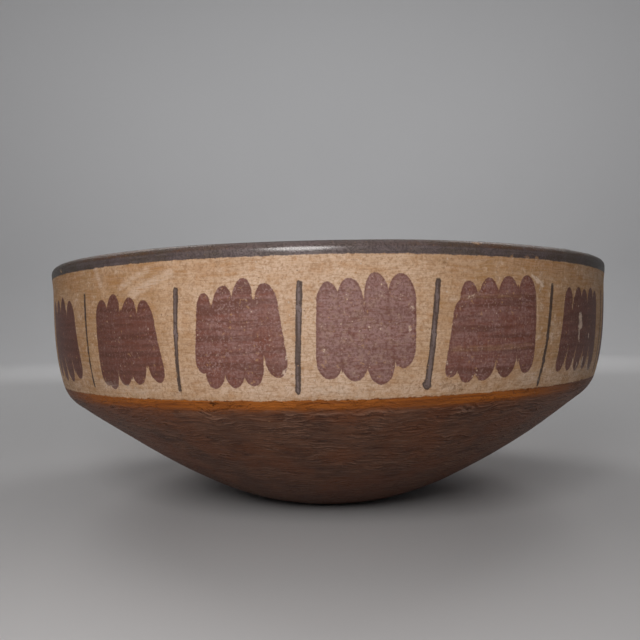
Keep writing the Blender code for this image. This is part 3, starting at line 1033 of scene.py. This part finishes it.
def painted_outside():
    material, tree, shader, place, along = new_finish("painted_outside")
    tones = {"Base": UNDER, "Dark": UNDER_DARK, "Pale": UNDER_PALE}
    clay = use(tree, "burnished clay", Position=place, Along=along, Seed=0.0, **tones)
    ground = layered(tree, clay["Colour"], UNDER_RED, mottled(tree, place, 16.0, 0.44, 0.60), 0.42)
    # Painted shade: the underside is painted darker toward its foot.
    ground = layered(tree, ground, UNDER_DARK, ramp(tree, along, 84.0, 36.0, 0.0, 0.62))
    marks, blots, stains = split(tree, "marks"), split(tree, "blots"), split(tree, "stains")
    cream, wiping, grain = cream_slip(tree, place, along, stains)
    wiped = brushed(tree, place, marks[1], 1.2, 0.6)
    wiped = times(tree, wiped, ramp(tree, wiping["Fine"], 0.3, 0.55))
    cream = layered(tree, cream, CREAM_PALE, wiped, 0.55)

    nearest = calc(tree, "MINIMUM", calc(tree, "MINIMUM", blots[0], blots[1]), blots[2])
    blot, blotted, flecks = painted_blots(tree, place, along, nearest, wiped)
    wall = layered(tree, cream, blot, blotted, 0.97)
    drawn = brushed(tree, place, marks[0], 0.34, 0.14)
    # The lines' paler core is painted mostly round the front middle, a painted sheen.
    core = times(tree, ramp(tree, marks[0], -0.18, -0.55), ramp(tree, grain, 1.4, 0.0))
    core = times(tree, core, ramp(tree, away_from(tree, place, CREAM_SHEEN_MIDDLE), 40.0, 72.0, 0.88, 0.22))
    line = layered(tree, LINE, LINE_PALE, core)
    line = layered(tree, line, CREAM_TAN, flecks, 0.5)
    wall = layered(tree, wall, line, drawn, 0.93)
    spalled = brushed(tree, place, marks[2], 1.5, 0.25)
    spalled = times(tree, spalled, ramp(tree, grain, 1.1, 0.2, 0.35, 1.0))
    wall = layered(tree, wall, CREAM_PALE, spalled, 0.8)
    chalky = brushed(tree, place, stains[2], 4.0, 1.0)
    chalky = times(tree, chalky, ramp(tree, wiping["Fine"], 0.35, 0.6))
    wall = layered(tree, wall, CHALK, chalky, 0.32)

    # Orange line on the shoulder: firm above, under the cream, and rubbed away below.
    orange_streaks = streaked(tree, place, along, Length=18.0, Height=0.6, Seed=31.0)
    orange = layered(tree, ORANGE, ORANGE_DEEP, orange_streaks["Streak"], 0.8)
    lower = ramp(tree, along, MARK_MM["orange bottom"] + 1.2, MARK_MM["orange bottom"] - 0.2)
    orange = layered(tree, orange, ORANGE_DEEP, lower, 0.6)
    below = minus(tree, MARK_MM["orange bottom"], along)
    below = plus(tree, below, times(tree, minus(tree, orange_streaks["Fine"], 0.5), 3.5))
    rubbed = brushed(tree, place, below, 1.2, 1.1)
    # Painted shade: toward the sides the orange gives way to the darker brown, where the shoulder turns
    # from the light.
    across = separated(tree, place)[0]
    side = calc(tree, "MAXIMUM", plus(tree, across, 10.0), times(tree, across, -1.0))
    coat = layered(tree, ground, orange, times(tree, rubbed, ramp(tree, side, 91.0, 58.0, 0.14, 0.95)))
    up_to = minus(tree, MARK_MM["cream bottom"], along)
    creamed = brushed(tree, place, up_to, 0.7, 0.2)
    coat = layered(tree, coat, wall, creamed)
    band = use(tree, "lip band", Position=place, Along=along)
    banded = band["Mask"]
    coat = layered(tree, coat, band["Colour"], banded)
    coat = layered(tree, coat, CREAM_TAN, times(tree, spalled, banded), 0.7)

    cream_rough = plus(tree, 0.56, times(tree, grain, 0.1))
    wall_rough = chosen(tree, blotted, cream_rough, plus(tree, 0.42, times(tree, flecks, 0.2)))
    rough = chosen(tree, creamed, clay["Roughness"], wall_rough)
    rough = chosen(tree, banded, rough, band["Roughness"])
    wall_relief = minus(tree, times(tree, wiping["Fine"], 0.7), times(tree, grain, 0.35))
    wall_relief = minus(tree, wall_relief, times(tree, spalled, 0.9))
    relief = chosen(tree, creamed, times(tree, clay["Relief"], 2.5), wall_relief)
    relief = chosen(tree, banded, relief, band["Relief"])
    finish_surface(tree, shader, coat, rough, relief, WALL_RELIEF, band["Shine"])
    return material


def plain_inside():
    material, tree, shader, place, along = new_finish("plain_inside")
    tones = {"Base": INSIDE, "Dark": INSIDE_DARK, "Pale": UNDER_PALE}
    clay = use(tree, "burnished clay", Position=place, Along=along, Seed=70.0, **tones)
    band = use(tree, "lip band", Position=place, Along=along)
    coat = layered(tree, clay["Colour"], band["Colour"], band["Mask"])
    rough = chosen(tree, band["Mask"], clay["Roughness"], band["Roughness"])
    relief = chosen(tree, band["Mask"], clay["Relief"], band["Relief"])
    finish_surface(tree, shader, coat, rough, relief, INSIDE_RELIEF, band["Shine"])
    return material


# Stage, light and camera. The stage is in metres: the rings of its flat floor, where it starts to bend,
# how far off its wall stands, and the wall's top.
STAGE_RINGS = (0.3, 0.7)
STAGE_BEND, STAGE_WALL, STAGE_TOP = 1.1, 1.6, 1.3
STAGE_STEPS, BEND_STEPS = 96, 25
WARM_WHITE, WHITE = (1.0, 0.98, 0.96), (1.0, 1.0, 1.0)
ROOM_LIGHT = 0.045
# Lamps: name, place, the point each is aimed at, size across, power and colour. The key is small and
# near the front, which gives the wall its falloff to the sides and the band its highlight.
LAMPS = [
    ("key", (-0.042, -0.28, 0.155), (0.0, -0.06, 0.05), 0.10, 0.33, WARM_WHITE),
    ("left_fill", (-0.62, 0.62, 0.85), (0.0, 0.0, 0.04), 0.6, 2.2, WARM_WHITE),
    ("right_fill", (0.62, 0.62, 0.85), (0.0, 0.0, 0.04), 0.6, 2.2, WARM_WHITE),
    ("above", (0.0, 0.15, 1.2), (0.0, 0.05, 0.0), 0.9, 0.8, WHITE),
    ("backdrop", (0.0, 0.5, 0.8), (0.0, 1.6, 0.75), 0.8, 5.0, WHITE),
]


def plain_stage():
    """A pale floor that curves up into a low wall all round, far from the bowl."""
    bend = STAGE_WALL - STAGE_BEND
    profile = [(radius, 0.0) for radius in STAGE_RINGS]
    for t in np.linspace(0, 1, BEND_STEPS):
        rising = t * math.pi / 2
        profile.append((STAGE_BEND + bend * math.sin(rising), bend * (1 - math.cos(rising))))
    profile.append((STAGE_WALL, STAGE_TOP))
    points, faces = [(0.0, 0.0, 0.0)], []
    for radius, height in profile:
        for k in range(STAGE_STEPS):
            turn = 2 * math.pi * k / STAGE_STEPS
            points.append((radius * math.cos(turn), radius * math.sin(turn), height))
    for k in range(STAGE_STEPS):
        after = (k + 1) % STAGE_STEPS
        faces.append((0, 1 + k, 1 + after))
        for i in range(len(profile) - 1):
            inner = 1 + i * STAGE_STEPS
            outer = inner + STAGE_STEPS
            faces.append((inner + k, outer + k, outer + after, inner + after))
    mesh = bpy.data.meshes.new("stage_floor")
    mesh.from_pydata(points, [], faces)
    for polygon in mesh.polygons:
        polygon.use_smooth = True
    floor = bpy.data.objects.new("stage_floor", mesh)
    bpy.context.scene.collection.objects.link(floor)
    material = bpy.data.materials.new("pale_floor")
    material.use_nodes = True
    shader = material.node_tree.nodes["Principled BSDF"]
    shader.inputs["Base Color"].default_value = FLOOR_GREY
    shader.inputs["Roughness"].default_value = 0.9
    mesh.materials.append(material)


def area_light(name, place, aim, size, power, colour):
    data = bpy.data.lights.new(name, "AREA")
    data.shape = "DISK"
    data.size = size
    data.energy = power
    data.color = colour
    light = bpy.data.objects.new(name, data)
    bpy.context.scene.collection.objects.link(light)
    light.location = place
    light.rotation_mode = "QUATERNION"
    light.rotation_quaternion = (Vector(aim) - Vector(place)).to_track_quat("-Z", "Y")
    light.visible_camera = False


def light_and_camera():
    world = bpy.data.worlds.new("soft_room")
    world.use_nodes = True
    world.node_tree.nodes["Background"].inputs[0].default_value = rgb(1.0, 1.0, 1.0)
    world.node_tree.nodes["Background"].inputs[1].default_value = ROOM_LIGHT
    scene = bpy.context.scene
    scene.world = world
    for lamp in LAMPS:
        area_light(*lamp)
    scene.view_settings.view_transform = "Standard"
    scene.view_settings.look = "None"
    data = bpy.data.cameras.new("camera")
    data.lens = CAMERA_LENS
    data.sensor_width = 36.0
    data.shift_x, data.shift_y = CAMERA_SHIFT
    data.clip_start = 0.005
    data.clip_end = 20.0
    camera = bpy.data.objects.new("camera", data)
    scene.collection.objects.link(camera)
    level = Matrix.Translation((0.0, -CAMERA_BACK, CAMERA_HEIGHT)) @ Matrix.Rotation(math.pi / 2, 4, "X")
    camera.matrix_world = level @ Matrix.Rotation(-CAMERA_ROLL, 4, "Z")
    scene.camera = camera


light_and_camera()
plain_stage()
body = turned_body(
    "bowl_body",
    painted_outside(),
    plain_inside(),
    **{
        "Steps Round": TURNS,
        "Sway": 0.35 * MM,
        "Sway Length": 0.05,
        "Shoulder Tilt": 0.8 * MM,
        "Tool Facets": 0.32 * MM,
        "Lip Wander": 0.35 * MM,
        "Chip Depth": 0.12 * MM,
        "Seed": 4.0,
    },
)
paint_body(body)
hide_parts("bowl")
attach(body, "root")
